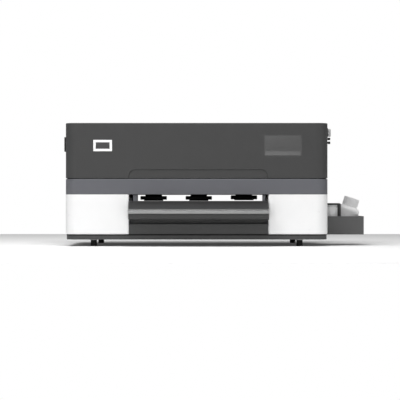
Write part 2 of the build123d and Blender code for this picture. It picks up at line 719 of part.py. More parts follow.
main_board.part.label = "main_board"
export_step(main_board.part, "parts/main_board.step")

# ---- rear panel with fan, inlet and switch ----
PANEL_T = 3
REAR_FLANGE_W = 18
REAR_Y = (BODY_D - PANEL_T, BODY_D)
THROUGH_Y = (REAR_Y[0] - 1, REAR_Y[1] + 1)
FAN_BORE = 37
SCREW_R = 2
SCREW_XS = (-245, -80, 85, 260)
SCREW_ZS = (54, 157)

with BuildPart() as rear_panel:
    block((PANEL_X0, PANEL_X1), REAR_Y, (COVER_Z, PANEL_TOP))
    block((PANEL_X0, PANEL_X1), (BODY_D - REAR_FLANGE_W, BODY_D), (COVER_Z, COVER_Z + SHEET_T))
    rod_y(FAN_X, THROUGH_Y, FAN_Z, FAN_BORE, Mode.SUBTRACT)
    for x, half_w, half_h in ((INLET_X, 14, 12), (ROCKER_X, 11, 15)):
        block((x - half_w, x + half_w), THROUGH_Y, (INLET_Z - half_h, INLET_Z + half_h), Mode.SUBTRACT)
    for x in SCREW_XS:
        for z in SCREW_ZS:
            rod_y(x, THROUGH_Y, z, SCREW_R + CLEAR, Mode.SUBTRACT)

rear_panel.part.label = "rear_panel"
export_step(rear_panel.part, "parts/rear_panel.step")

with BuildPart() as socket_screws:
    for x in SCREW_XS:
        for z in SCREW_ZS:
            rod_y(x, (BODY_D - 6, BODY_D), z, SCREW_R)
            rod_y(x, (BODY_D, BODY_D + 2.5), z, 3.8)
            rod_y(x, (BODY_D + 1.2, BODY_D + 3), z, 1.4, Mode.SUBTRACT)

socket_screws.part.label = "socket_screws"
export_step(socket_screws.part, "parts/socket_screws.step")

FAN_Y = (REAR_Y[0] - 25, REAR_Y[0])
ROTOR_R = 36
HUB_R = 16
with BuildPart() as fan_frame:
    half = FAN_SIZE / 2
    block((FAN_X - half, FAN_X + half), FAN_Y, (FAN_Z - half, FAN_Z + half))
    rod_y(FAN_X, (FAN_Y[0] - 1, FAN_Y[1] + 1), FAN_Z, ROTOR_R + 2, Mode.SUBTRACT)
    block((FAN_X - half, FAN_X + half), (FAN_Y[0], FAN_Y[0] + 3), (FAN_Z - 3, FAN_Z + 3))
    block((FAN_X - 3, FAN_X + 3), (FAN_Y[0], FAN_Y[0] + 3), (FAN_Z - half, FAN_Z + half))
    rod_y(FAN_X, (FAN_Y[0], FAN_Y[0] + 5), FAN_Z, HUB_R)
    rod_y(FAN_X, (FAN_Y[0] - 1, FAN_Y[0] + 6), FAN_Z, 2 + PIN_CLEAR, Mode.SUBTRACT)

fan_frame.part.label = "fan_frame"
export_step(fan_frame.part, "parts/fan_frame.step")

BLADES = 7
with BuildPart() as fan_rotor:
    rod_y(FAN_X, (FAN_Y[0] + 5.5, FAN_Y[1] - 2), FAN_Z, HUB_R)
    rod_y(FAN_X, (FAN_Y[0] + 0.5, FAN_Y[0] + 6), FAN_Z, 2)
    for i in range(BLADES):
        spin = Plane(
            (MX + FAN_X, FRONT + FAN_Y[1] - 12, FAN_Z),
            x_dir=(math.cos(2 * math.pi * i / BLADES), 0, math.sin(2 * math.pi * i / BLADES)),
            z_dir=(0, -1, 0),
        )
        with Locations(spin.location * Location(((HUB_R + ROTOR_R) / 2 - 1, 0, 0), (35, 0, 0))):
            Box(ROTOR_R - HUB_R, 17, 1.8)

fan_rotor.part.label = "fan_rotor"
export_step(fan_rotor.part, "parts/fan_rotor.step")

BEZEL_T = 2
ROCKER_PIVOT_Y = BODY_D - 2
ROCKER_PIN_R = 1.2
ROCKER_PIN_HALF = 9.6
with BuildPart() as power_inlet:
    block((INLET_X - 18, INLET_X + 18), (BODY_D, BODY_D + BEZEL_T), (INLET_Z - 16, INLET_Z + 16))
    block((INLET_X - 13.5, INLET_X + 13.5), (BODY_D - 24, BODY_D), (INLET_Z - 11.5, INLET_Z + 11.5))
    block((INLET_X - 12, INLET_X + 12), (BODY_D - 14, BODY_D + 5), (INLET_Z - 8, INLET_Z + 8), Mode.SUBTRACT)
    for x, z in ((-7, -2), (0, 2), (7, -2)):
        pin_z = INLET_Z + z
        block((INLET_X + x - 1, INLET_X + x + 1), (BODY_D - 14, BODY_D - 1), (pin_z - 2, pin_z + 2))
    block((ROCKER_X - 14, ROCKER_X + 14), (BODY_D, BODY_D + BEZEL_T), (INLET_Z - 18, INLET_Z + 18))
    block((ROCKER_X - 10.5, ROCKER_X + 10.5), (BODY_D - 20, BODY_D), (INLET_Z - 14.5, INLET_Z + 14.5))
    well_y = (BODY_D - 14, BODY_D + 5)
    block((ROCKER_X - 8, ROCKER_X + 8), well_y, (INLET_Z - 12, INLET_Z + 12), Mode.SUBTRACT)
    pivot_x = (ROCKER_X - ROCKER_PIN_HALF - CLEAR, ROCKER_X + ROCKER_PIN_HALF + CLEAR)
    rod_x(pivot_x, ROCKER_PIVOT_Y, INLET_Z, ROCKER_PIN_R + PIN_CLEAR, Mode.SUBTRACT)

power_inlet.part.label = "power_inlet"
export_step(power_inlet.part, "parts/power_inlet.step")

ROCKER_TILT = 8           # degrees each side of level; at rest it is switched off
with BuildPart() as power_rocker:
    rod_x((ROCKER_X - ROCKER_PIN_HALF, ROCKER_X + ROCKER_PIN_HALF), ROCKER_PIVOT_Y, INLET_Z, ROCKER_PIN_R)
    wings = ((0, -10.5), (4.2, -10.5), (1.2, 0), (4.2, 10.5), (0, 10.5), (-3, 4), (-3, -4))
    extrude(side_sketch([(ROCKER_PIVOT_Y + y, INLET_Z + z) for y, z in wings], ROCKER_X - 7.6), amount=15.2)

rocker_axis = Axis((MX + ROCKER_X, FRONT + ROCKER_PIVOT_Y, INLET_Z), (-1, 0, 0))
power_rocker.part = power_rocker.part.rotate(rocker_axis, -ROCKER_TILT)
power_rocker.part.label = "power_rocker"
export_step(power_rocker.part, "parts/power_rocker.step")

# ---- roll holder ----
BRACKET_T = 4
BRACKET_END = BODY_D + ROLL_REACH
with BuildPart() as roll_brackets:
    for side in (-1, 1):
        inner, outer = side * BRACKET_X, side * (BRACKET_X + BRACKET_T)
        arm_top = [(BODY_D, 70), (BODY_D, 155), (ROLL_Y, 155), (BRACKET_END, 140)]
        arm_outline = arm_top + [(BRACKET_END, 112), (ROLL_Y, 95)]
        extrude(side_sketch(arm_outline, min(inner, outer)), amount=BRACKET_T)
        block(sorted((outer, side * (BRACKET_X + 28))), (BODY_D, BODY_D + BRACKET_T), (70, 155))
        rod_x(sorted((inner - side, outer + side)), ROLL_Y, ROLL_Z, ROLL_JOURNAL_R + PIN_CLEAR, Mode.SUBTRACT)

roll_brackets.part.label = "roll_brackets"
export_step(roll_brackets.part, "parts/roll_brackets.step")

with BuildPart() as roll_spindle:
    rod_x((-BRACKET_X + 1, BRACKET_X - 1), ROLL_Y, ROLL_Z, ROLL_R)
    rod_x((-BRACKET_X - 12, BRACKET_X + 12), ROLL_Y, ROLL_Z, ROLL_JOURNAL_R)
    for side in (-1, 1):
        rod_x(sorted((side * 255, side * 267)), ROLL_Y, ROLL_Z, 24)
        rod_x(sorted((side * (BRACKET_X + BRACKET_T + 1), side * (BRACKET_X + 14))), ROLL_Y, ROLL_Z, 11)

roll_spindle.part.label = "roll_spindle"
export_step(roll_spindle.part, "parts/roll_spindle.step")

# ---- lid ----
RECESS_X = (-260, 271)
RECESS_TOP = 295
RECESS_R = 27
RECESS_D = 1.6
SCREEN_X = (256.5, 402.4)
SCREEN_Z = (343.5, 426.4)
SCREEN_D = 2
VENT_Y = (60, 180)
VENT_Z = (364, 420)
BUTTON_Y = 75
MAIN_BUTTON_Z = 436.5
SMALL_BUTTON_ZS = (413, 398)
MAIN_STEM_R = 6
SMALL_STEM_R = 3

with BuildPart() as lid_shell:
    extrude(body_plan(LID_Z, 0), amount=LID_TOP - LID_Z)
    fillet(lid_shell.faces().sort_by(Axis.Z)[-1].edges(), 3)
    extrude(body_plan(LID_Z, LID_T), amount=LID_TOP - LID_Z - LID_T, mode=Mode.SUBTRACT)
    recess_w = RECESS_X[1] - RECESS_X[0]
    recess_x = MX + (RECESS_X[0] + RECESS_X[1]) / 2
    with BuildSketch(Plane((recess_x, FRONT, LID_Z), x_dir=(1, 0, 0), z_dir=(0, -1, 0))):
        RectangleRounded(recess_w, 2 * (RECESS_TOP - LID_Z), RECESS_R)
    extrude(amount=-RECESS_D, mode=Mode.SUBTRACT)
    block(SCREEN_X, (-1, SCREEN_D), SCREEN_Z, Mode.SUBTRACT)
    vent_z = (VENT_Z[0] + 8, VENT_Z[1] - 8)
    block((-HALF - 1, -HALF + 8), (VENT_Y[0] + 8, VENT_Y[1] - 8), vent_z, Mode.SUBTRACT)
    wall = (HALF - LID_T - 1, HALF + 1)
    rod_x(wall, BUTTON_Y, MAIN_BUTTON_Z, MAIN_STEM_R + CLEAR, Mode.SUBTRACT)
    for z in SMALL_BUTTON_ZS:
        rod_x(wall, BUTTON_Y, z, SMALL_STEM_R + CLEAR, Mode.SUBTRACT)

lid_shell.part.label = "lid_shell"
export_step(lid_shell.part, "parts/lid_shell.step")

with BuildPart() as touch_screen:
    block((SCREEN_X[0] + 0.2, SCREEN_X[1] - 0.2), (0, SCREEN_D), (SCREEN_Z[0] + 0.2, SCREEN_Z[1] - 0.2))

touch_screen.part.label = "touch_screen"
export_step(touch_screen.part, "parts/touch_screen.step")

BADGE_X = (-394.8, -323.4)
BADGE_Z = (363.7, 406.9)
BADGE_BORDER = 9.2
with BuildPart() as badge_frame:
    block(BADGE_X, (-1.2, 0), BADGE_Z)
    fillet(badge_frame.edges().filter_by(Axis.Y), 1.5)
    block(
        (BADGE_X[0] + BADGE_BORDER, BADGE_X[1] - BADGE_BORDER),
        (-2, 1),
        (BADGE_Z[0] + BADGE_BORDER, BADGE_Z[1] - BADGE_BORDER),
        Mode.SUBTRACT,
    )

badge_frame.part.label = "badge_frame"
export_step(badge_frame.part, "parts/badge_frame.step")

SLAT_PITCH = 8
with BuildPart() as exhaust_vent:
    block((-HALF - VENT_REACH, -HALF), VENT_Y, VENT_Z)
    fillet(exhaust_vent.edges().filter_by(Axis.X), 6)
    for z in range(VENT_Z[0] + 11, VENT_Z[1] - 10, SLAT_PITCH):
        slot_y = (VENT_Y[0] + 9, VENT_Y[1] - 9)
        block((-HALF - VENT_REACH - 1, -HALF + 1), slot_y, (z, z + 4.5), Mode.SUBTRACT)

exhaust_vent.part.label = "exhaust_vent"
export_step(exhaust_vent.part, "parts/exhaust_vent.step")


def push_button(z, size, reach, stem_r):
    """A button on the right side: head outside, stem through the lid, retaining disc inside."""
    with BuildPart() as button:
        head_x = (HALF + 3.5, HALF + reach)
        block(head_x, (BUTTON_Y - size / 2, BUTTON_Y + size / 2), (z - size / 2, z + size / 2))
        fillet(button.edges().filter_by(Axis.X), size / 5)
        fillet(button.faces().sort_by(Axis.X)[-1].edges(), 1)
        rod_x((HALF - 16, HALF + 3.5), BUTTON_Y, z, stem_r)
        rod_x((HALF - LID_T - 2.5, HALF - LID_T - 0.4), BUTTON_Y, z, stem_r + 1.5)
    return button


main_button = push_button(MAIN_BUTTON_Z, 29, 14, MAIN_STEM_R)
main_button.part.label = "main_button"
export_step(main_button.part, "parts/main_button.step")

for name, z in zip(("upper_button", "lower_button"), SMALL_BUTTON_ZS):
    small_button = push_button(z, 9.5, 12.7, SMALL_STEM_R)
    small_button.part.label = name
    export_step(small_button.part, f"parts/{name}.step")

# ---- lid hinges ----
LEAF_T = 3
LEAF_Y = (BODY_D, BODY_D + LEAF_T)
KNUCKLE_THIRD = HINGE_W / 3
KNUCKLE_FREE = KNUCKLE_R + 0.4


def leaf_screws(x, z):
    """Two countersunk-looking screw heads on one leaf."""
    for dx in (-30, 30):
        rod_y(x + dx, (LEAF_Y[1], LEAF_Y[1] + 1.2), z, 4)


with BuildPart() as frame_hinge_leaves:
    for x in HINGE_CENTRES:
        block((x - HINGE_W / 2, x + HINGE_W / 2), LEAF_Y, (212, HINGE_Z))
        for start in (x - HINGE_W / 2, x + HINGE_W / 2 - KNUCKLE_THIRD + 0.4):
            rod_x((start, start + KNUCKLE_THIRD - 0.4), HINGE_Y, HINGE_Z, KNUCKLE_R)
        middle = (x - KNUCKLE_THIRD / 2 - 0.4, x + KNUCKLE_THIRD / 2 + 0.4)
        block(middle, (BODY_D - 1, BODY_D + 5), (HINGE_Z - KNUCKLE_FREE, HINGE_Z + 1), Mode.SUBTRACT)
        rod_x((x - HINGE_W / 2, x + HINGE_W / 2), HINGE_Y, HINGE_Z, HINGE_PIN_R)
        leaf_screws(x, 230)

frame_hinge_leaves.part.label = "frame_hinge_leaves"
export_step(frame_hinge_leaves.part, "parts/frame_hinge_leaves.step")

with BuildPart() as lid_hinge_leaves:
    for x in HINGE_CENTRES:
        block((x - HINGE_W / 2, x + HINGE_W / 2), LEAF_Y, (HINGE_Z + KNUCKLE_FREE, 306))
        knuckle_x = (x - KNUCKLE_THIRD / 2 + 0.2, x + KNUCKLE_THIRD / 2 - 0.2)
        block(knuckle_x, LEAF_Y, (HINGE_Z + 1.5, HINGE_Z + KNUCKLE_FREE))
        rod_x(knuckle_x, HINGE_Y, HINGE_Z, KNUCKLE_R)
        rod_x((x - HINGE_W, x + HINGE_W), HINGE_Y, HINGE_Z, HINGE_PIN_R + PIN_CLEAR, Mode.SUBTRACT)
        leaf_screws(x, 290)

lid_hinge_leaves.part.label = "lid_hinge_leaves"
export_step(lid_hinge_leaves.part, "parts/lid_hinge_leaves.step")

# ---- ink tray and bottles ----
TRAY_X = (HALF, HALF + TRAY_REACH)
with BuildPart() as ink_tray:
    block(TRAY_X, (TRAY_Y0, TRAY_Y1), (TRAY_Z0, TRAY_Z1))
    fillet(ink_tray.edges().filter_by(Axis.Z), 1.5)
    block(
        (TRAY_X[0] + TRAY_T, TRAY_X[1] - TRAY_T),
        (TRAY_Y0 + TRAY_T, TRAY_Y1 - TRAY_T),
        (TRAY_Z0 + TRAY_T, TRAY_Z1 + 1),
        Mode.SUBTRACT,
    )

ink_tray.part.label = "ink_tray"
export_step(ink_tray.part, "parts/ink_tray.step")

TRAY_FLOOR = TRAY_Z0 + TRAY_T
with BuildPart() as grey_ink_bottle:
    rod_z(529, 190, (TRAY_FLOOR, 149), 23)
    fillet(grey_ink_bottle.faces().sort_by(Axis.Z)[0].edges(), 3)
    rod_z(529, 190, (149, 150.5), 18.5)
    rod_z(529, 190, (150.5, 157), 23)
    fillet(grey_ink_bottle.faces().sort_by(Axis.Z)[-1].edges(), 1)

grey_ink_bottle.part.label = "grey_ink_bottle"
export_step(grey_ink_bottle.part, "parts/grey_ink_bottle.step")

with BuildPart() as black_ink_bottle:
    rod_z(538.5, 250, (TRAY_FLOOR, 165), 32)
    fillet(black_ink_bottle.faces().sort_by(Axis.Z)[0].edges(), 3)
    fillet(black_ink_bottle.faces().sort_by(Axis.Z)[-1].edges(), 7)

black_ink_bottle.part.label = "black_ink_bottle"
export_step(black_ink_bottle.part, "parts/black_ink_bottle.step")

# the white bottle leans in the tray, towards the right
LEAN = 18
BOTTLE_R = 45
BOTTLE_LEN = 97
NECK_R = 24
CAP_R = 30.5
CAP_H = 35
lean_dir = (math.sin(math.radians(LEAN)), 0, math.cos(math.radians(LEAN)))
bottle_foot = Plane((MX + 581.4, FRONT + 345, 59.2), x_dir=(lean_dir[2], 0, -lean_dir[0]), z_dir=lean_dir)
neck_base = bottle_foot.offset(BOTTLE_LEN)

with BuildPart() as white_ink_bottle:
    with BuildSketch(bottle_foot):
        Circle(BOTTLE_R)
    extrude(amount=BOTTLE_LEN)
    fillet(white_ink_bottle.edges().filter_by(GeomType.CIRCLE).sort_by(Axis.Z)[-1], 17)
    fillet(white_ink_bottle.edges().filter_by(GeomType.CIRCLE).sort_by(Axis.Z)[0], 3)
    with BuildSketch(neck_base):
        Circle(NECK_R)
    extrude(amount=CAP_H - 8)

white_ink_bottle.part.label = "white_ink_bottle"
export_step(white_ink_bottle.part, "parts/white_ink_bottle.step")

with BuildPart() as white_bottle_cap:
    with BuildSketch(neck_base.offset(CLEAR)):
        Circle(CAP_R)
    extrude(amount=CAP_H - CLEAR)
    with BuildSketch(neck_base.offset(CLEAR)):
        Circle(NECK_R + CLEAR)
    extrude(amount=CAP_H - 7 - CLEAR, mode=Mode.SUBTRACT)

white_bottle_cap.part.label = "white_bottle_cap"
export_step(white_bottle_cap.part, "parts/white_bottle_cap.step")
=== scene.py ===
import math

import bmesh
import bpy
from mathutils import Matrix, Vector


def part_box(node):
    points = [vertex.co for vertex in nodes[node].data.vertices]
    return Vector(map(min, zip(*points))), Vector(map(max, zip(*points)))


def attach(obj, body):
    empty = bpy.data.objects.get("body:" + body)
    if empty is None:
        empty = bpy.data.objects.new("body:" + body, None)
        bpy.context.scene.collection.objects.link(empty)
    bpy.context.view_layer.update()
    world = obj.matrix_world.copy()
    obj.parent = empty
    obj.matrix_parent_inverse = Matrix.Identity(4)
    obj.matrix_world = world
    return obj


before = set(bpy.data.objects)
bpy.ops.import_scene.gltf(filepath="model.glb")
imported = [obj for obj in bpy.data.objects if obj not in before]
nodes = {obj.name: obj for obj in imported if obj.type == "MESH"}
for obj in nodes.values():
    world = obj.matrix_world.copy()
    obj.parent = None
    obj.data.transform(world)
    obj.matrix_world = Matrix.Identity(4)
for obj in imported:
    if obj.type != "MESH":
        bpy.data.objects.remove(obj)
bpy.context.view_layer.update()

# ---- the machine's own places, in metres ----
case_low, case_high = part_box("lid_shell")
MID_X = (case_low.x + case_high.x) / 2      # centre line of the case
FRONT_Y = case_low.y                        # front face of the case
MM = 0.001


def at(x, y, z):
    """A point from the case's centre line, its front face and the floor, given in millimetres."""
    return Vector((MID_X + x * MM, FRONT_Y + y * MM, z * MM))


# ---- materials ----
def tone(level):
    """Linear value of a grey or colour given on the usual 0 to 255 display scale."""
    def linear(v):
        v /= 255
        return v / 12.92 if v <= 0.04045 else ((v + 0.055) / 1.055) ** 2.4
    if isinstance(level, (int, float)):
        level = (level, level, level)
    return tuple(linear(v) for v in level)


def add_noise(tree, vector, scale, detail=3.0, rough=0.6):
    """A noise texture on the given coordinates."""
    noise = tree.nodes.new("ShaderNodeTexNoise")
    noise.inputs["Scale"].default_value = scale
    noise.inputs["Detail"].default_value = detail
    noise.inputs["Roughness"].default_value = rough
    tree.links.new(vector, noise.inputs["Vector"])
    return noise.outputs["Fac"]


def add_range(tree, value, low, high):
    """Spreads a noise value over low to high."""
    spread = tree.nodes.new("ShaderNodeMapRange")
    spread.inputs["From Min"].default_value = 0.3
    spread.inputs["From Max"].default_value = 0.7
    spread.inputs["To Min"].default_value = low
    spread.inputs["To Max"].default_value = high
    tree.links.new(value, spread.inputs["Value"])
    return spread.outputs["Result"]


def finish(name, color, rough, metallic=0.0, mottle=0.06, grain=900.0, bump=0.15,
           depth=0.0001, rough_spread=0.08, stretch=(1, 1, 1), coat=0.0, specular=0.5):
    """A surface with mottled colour, uneven gloss and a fine grain."""
    mat = bpy.data.materials.new(name)
    mat.use_nodes = True
    tree = mat.node_tree
    shader = tree.nodes["Principled BSDF"]
    shader.inputs["Metallic"].default_value = metallic
    shader.inputs["Specular IOR Level"].default_value = specular
    shader.inputs["Coat Weight"].default_value = coat
    shader.inputs["Coat Roughness"].default_value = 0.12
    coords = tree.nodes.new("ShaderNodeTexCoord")
    mapping = tree.nodes.new("ShaderNodeMapping")
    mapping.inputs["Scale"].default_value = stretch
    tree.links.new(coords.outputs["Object"], mapping.inputs["Vector"])
    vector = mapping.outputs["Vector"]

    ramp = tree.nodes.new("ShaderNodeValToRGB")
    ramp.color_ramp.elements[0].position = 0.3
    ramp.color_ramp.elements[1].position = 0.7
    ramp.color_ramp.elements[0].color = (*[c * (1 - mottle) for c in color], 1)
    ramp.color_ramp.elements[1].color = (*[min(c * (1 + mottle), 1) for c in color], 1)
    tree.links.new(add_noise(tree, vector, 14.0, 5.0), ramp.inputs["Fac"])
    tree.links.new(ramp.outputs["Color"], shader.inputs["Base Color"])

    uneven = add_noise(tree, vector, 37.0, 4.0)
    gloss = add_range(tree, uneven, max(rough - rough_spread, 0.02), min(rough + rough_spread, 1.0))
    tree.links.new(gloss, shader.inputs["Roughness"])

    relief = tree.nodes.new("ShaderNodeBump")
    relief.inputs["Strength"].default_value = bump
    relief.inputs["Distance"].default_value = depth
    tree.links.new(add_noise(tree, vector, grain, 2.0), relief.inputs["Height"])
    tree.links.new(relief.outputs["Normal"], shader.inputs["Normal"])
    return mat


BRUSHED_X = (0.02, 1, 1)      # grain drawn out along X

case_dark = finish("case_dark", tone(60), 0.5, grain=1400, bump=0.3, mottle=0.02, rough_spread=0.03)
frame_grey = finish("frame_grey", tone((97, 98, 103)), 0.4, grain=1600, bump=0.2, mottle=0.03)
cover_white = finish("cover_white", tone(242), 0.35, grain=700, bump=0.06, mottle=0.01)
base_dark = finish("base_dark", tone(66), 0.5, grain=1400, bump=0.3, mottle=0.05)
apron_dark = finish("apron_dark", tone(47), 0.36, grain=1500, bump=0.12, mottle=0.03, rough_spread=0.02)
panel_dark = finish("panel_dark", tone(72), 0.45, grain=1500, bump=0.2, mottle=0.04)
trim_bright = finish("trim_bright", tone(196), 0.3, metallic=1.0, stretch=BRUSHED_X, grain=2500, bump=0.04,
                     mottle=0.02, rough_spread=0.02)
steel = finish("steel", tone(190), 0.3, metallic=1.0, stretch=BRUSHED_X, grain=2200, bump=0.15, mottle=0.1)
zinc_sheet = finish("zinc_sheet", tone(175), 0.42, metallic=1.0, grain=60, bump=0.1, mottle=0.15)
aluminium = finish("aluminium", tone(205), 0.36, metallic=1.0, stretch=BRUSHED_X, grain=1800, bump=0.12)
black_plastic = finish("black_plastic", tone(24), 0.45, grain=1200, bump=0.3, mottle=0.12)
black_rubber = finish("black_rubber", tone(20), 0.75, grain=800, bump=0.4, mottle=0.15)
screen_glass = finish("screen_glass", tone(80), 0.12, grain=20, bump=0.01, mottle=0.02, coat=0.6)
badge_white = finish("badge_white", tone(250), 0.3, grain=900, bump=0.05, mottle=0.01)
button_grey = finish("button_grey", tone(190), 0.35, grain=900, bump=0.1, mottle=0.04)
board_green = finish("board_green", tone((20, 92, 52)), 0.4, grain=500, bump=0.2, mottle=0.12)
bottle_white = finish("bottle_white", tone(252), 0.42, grain=400, bump=0.08, mottle=0.02)
bottle_grey = finish("bottle_grey", tone(222), 0.42, grain=400, bump=0.08, mottle=0.04)
bottle_black = finish("bottle_black", tone(48), 0.38, grain=400, bump=0.08, mottle=0.08)
cap_white = finish("cap_white", tone(240), 0.35, grain=500, bump=0.08, mottle=0.02)
tray_dark = finish("tray_dark", tone(86), 0.5, grain=1400, bump=0.3, mottle=0.04)
# this black also draws the painted shade line round the lid's recess
motor_black_and_painted_shade = finish("motor_black_and_painted_shade", tone(38), 0.4, grain=1200, bump=0.3, mottle=0.1)
# this black is the lid seal's colour and also the painted shade in the gap between the pan and the side
# covers
gasket_black_and_painted_shade = finish("gasket_black_and_painted_shade", tone(8), 0.9, grain=800, bump=0.3, mottle=0.2, specular=0.2)
badge_dark = finish("badge_dark", tone(68), 0.4, grain=900, bump=0.1, mottle=0.03)
display_glass = finish("display_glass", tone(82), 0.08, grain=15, bump=0.01, mottle=0.01, coat=0.8)
filter_foam = finish("filter_foam", tone(30), 0.95, grain=260, bump=0.9, depth=0.0006, mottle=0.3)
pad_foam = finish("pad_foam", tone((198, 190, 170)), 0.95, grain=350, bump=0.8, depth=0.0004, mottle=0.12)
wiper_rubber = finish("wiper_rubber", tone((128, 58, 34)), 0.6, grain=500, bump=0.2, mottle=0.1)
lamp_glass = finish("lamp_glass", tone((70, 52, 108)), 0.06, grain=20, bump=0.02, mottle=0.04, coat=1.0)

LOOKS = {
    case_dark: ("lid_shell", "carriage_cover"),
    frame_grey: ("mid_frame",),
    cover_white: ("left_side_cover", "right_side_cover"),
    base_dark: ("base_plate",),
    apron_dark: ("platen_apron",),
    panel_dark: ("lower_front_panel", "rear_panel", "rear_guide", "roll_brackets"),
    trim_bright: ("apron_trim",),
    steel: ("pinch_shaft", "linear_rail", "feed_roller", "socket_screws", "frame_hinge_leaves",
            "lid_hinge_leaves"),
    zinc_sheet: ("left_chassis_plate", "right_chassis_plate", "power_supply"),
    aluminium: ("platen", "gantry_beam", "roller_bearings", "feed_motor", "uv_lamps", "drive_pulley",
                "idler_pulley", "carriage_frame", "roll_spindle"),
    black_plastic: ("slot_cheeks", "cap_station", "power_inlet", "fan_frame", "fan_rotor",
                    "power_rocker", "pinch_arm_1", "pinch_arm_2", "pinch_arm_3", "print_heads",
                    "exhaust_vent", "upper_button", "lower_button"),
    black_rubber: ("rubber_feet", "lid_bumpers", "cap_sled", "pinch_roller_1", "pinch_roller_2",
                   "pinch_roller_3", "carriage_belt"),
    screen_glass: ("touch_screen",),
    badge_white: ("badge_frame",),
    button_grey: ("main_button",),
    board_green: ("main_board",),
    bottle_white: ("white_ink_bottle",),
    bottle_grey: ("grey_ink_bottle",),
    bottle_black: ("black_ink_bottle",),
    cap_white: ("white_bottle_cap",),
    tray_dark: ("ink_tray",),
    motor_black_and_painted_shade: ("carriage_motor",),
}
for mat, names in LOOKS.items():
    for name in names:
        data = nodes[name].data
        data.materials.clear()
        data.materials.append(mat)

# ---- piece makers ----
def finish_piece(bm, name, mat, body, crease=35):
    """Turns a mesh into a named piece that rides on a body."""
    bmesh.ops.recalc_face_normals(bm, faces=bm.faces)
    mesh = bpy.data.meshes.new(name)
    bm.to_mesh(mesh)
    bm.free()
    mesh.shade_smooth()
    mesh.set_sharp_from_angle(angle=math.radians(crease))
    mesh.materials.append(mat)
    piece = bpy.data.objects.new(name, mesh)
    bpy.context.scene.collection.objects.link(piece)
    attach(piece, body)
    return piece


def add_plate(bm, low, high, edge=0.4):
    """A block between two corners with rounded edges; edge is in millimetres."""
    low, high = Vector(low), Vector(high)
    size = high - low
    verts = bmesh.ops.create_cube(bm, size=1)["verts"]
    for vert in verts:
        vert.co = Vector(c * s for c, s in zip(vert.co, size)) + (low + high) / 2
    edges = list({e for vert in verts for e in vert.link_edges})
    width = min(edge * MM, 0.4 * min(size))
    bmesh.ops.bevel(bm, geom=edges, offset=width, segments=2, profile=0.5, affect="EDGES")


def add_skin(bm, rings, closed_ends=True, closed_loop=False):
    """Joins rings of points into a skin, with its ends filled or its last ring joined to its first."""
    rings = [[bm.verts.new(point) for point in ring] for ring in rings]
    pairs = list(zip(rings, rings[1:]))
    if closed_loop:
        pairs.append((rings[-1], rings[0]))
    for lower, upper in pairs:
        for i in range(len(lower)):
            j = (i + 1) % len(lower)
            bm.faces.new((lower[i], lower[j], upper[j], upper[i]))
    if closed_ends and not closed_loop:
        bm.faces.new(list(reversed(rings[0])))
        bm.faces.new(rings[-1])


def add_turned(bm, base, axis, profile, steps=28):
    """A turned piece; profile is (radius, distance along the axis) in millimetres."""
    base, axis = Vector(base), Vector(axis).normalized()
    side = axis.orthogonal().normalized()
    up = axis.cross(side)
    rings = []
    for radius, along in profile:
        centre = base + axis * (along * MM)
        angles = [2 * math.pi * i / steps for i in range(steps)]
        rings.append([centre + (side * math.cos(a) + up * math.sin(a)) * (radius * MM) for a in angles])
    add_skin(bm, rings)


def add_wire(bm, points, radius, steps=8, closed=False):
    """A round wire along points; its radius is in millimetres."""
    points = [Vector(point) for point in points]
    rings = []
    normal = None
    for i, point in enumerate(points):
        ahead = points[(i + 1) % len(points)] if closed else points[min(i + 1, len(points) - 1)]
        behind = points[i - 1] if closed or i else points[0]
        along = (ahead - behind).normalized()
        normal = along.orthogonal() if normal is None else normal - along * normal.dot(along)
        normal.normalize()
        other = along.cross(normal)
        angles = [2 * math.pi * k / steps for k in range(steps)]
        rings.append([point + (normal * math.cos(a) + other * math.sin(a)) * (radius * MM) for a in angles])
    add_skin(bm, rings, closed_loop=closed)


def circle_points(centre, axis, radius, steps=48):
    """Points round a circle; its radius is in millimetres."""
    centre, axis = Vector(centre), Vector(axis).normalized()
    side = axis.orthogonal().normalized()
    up = axis.cross(side)
    angles = [2 * math.pi * i / steps for i in range(steps)]
    return [centre + (side * math.cos(a) + up * math.sin(a)) * (radius * MM) for a in angles]


def case_outline(inset, z, corner_radius=46, steps=10):
    """The case's rounded outline at a height, pulled in by inset, in millimetres."""
    width = (case_high.x - case_low.x) / MM / 2 - inset
    depth = (case_high.y - case_low.y) / MM
    r = corner_radius - inset
    corners = ((width - r, inset + r, -90), (width - r, depth - inset - r, 0),
               (r - width, depth - inset - r, 90), (r - width, inset + r, 180))
    points = []
    for x, y, start in corners:
        for i in range(steps + 1):
            a = math.radians(start + 90 * i / steps)
            points.append(at(x + r * math.cos(a), y + r * math.sin(a), z))
    return points


def pulled_in(box, inset_x, inset_z):
    """The two corners of a box on the front face, pulled in on both sides and at top and bottom."""
    low, high = box
    return (low.x + inset_x * MM, low.z + inset_z * MM), (high.x - inset_x * MM, high.z - inset_z * MM)


# ---- lid ----
BADGE_BORDER = 9.2
(x0, z0), (x1, z1) = pulled_in(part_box("badge_frame"), BADGE_BORDER, BADGE_BORDER)
bm = bmesh.new()
add_plate(bm, (x0, FRONT_Y - 0.5 * MM, z0), (x1, FRONT_Y + 0.2 * MM, z1), 0.2)
finish_piece(bm, "badge_plate", badge_dark, "lid")

SCREEN_MARGIN = 5
(x0, z0), (x1, z1) = pulled_in(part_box("touch_screen"), SCREEN_MARGIN, SCREEN_MARGIN)
bm = bmesh.new()
add_plate(bm, (x0, FRONT_Y - 0.12 * MM, z0), (x1, FRONT_Y + 0.3 * MM, z1), 0.1)
finish_piece(bm, "screen_display", display_glass, "lid")
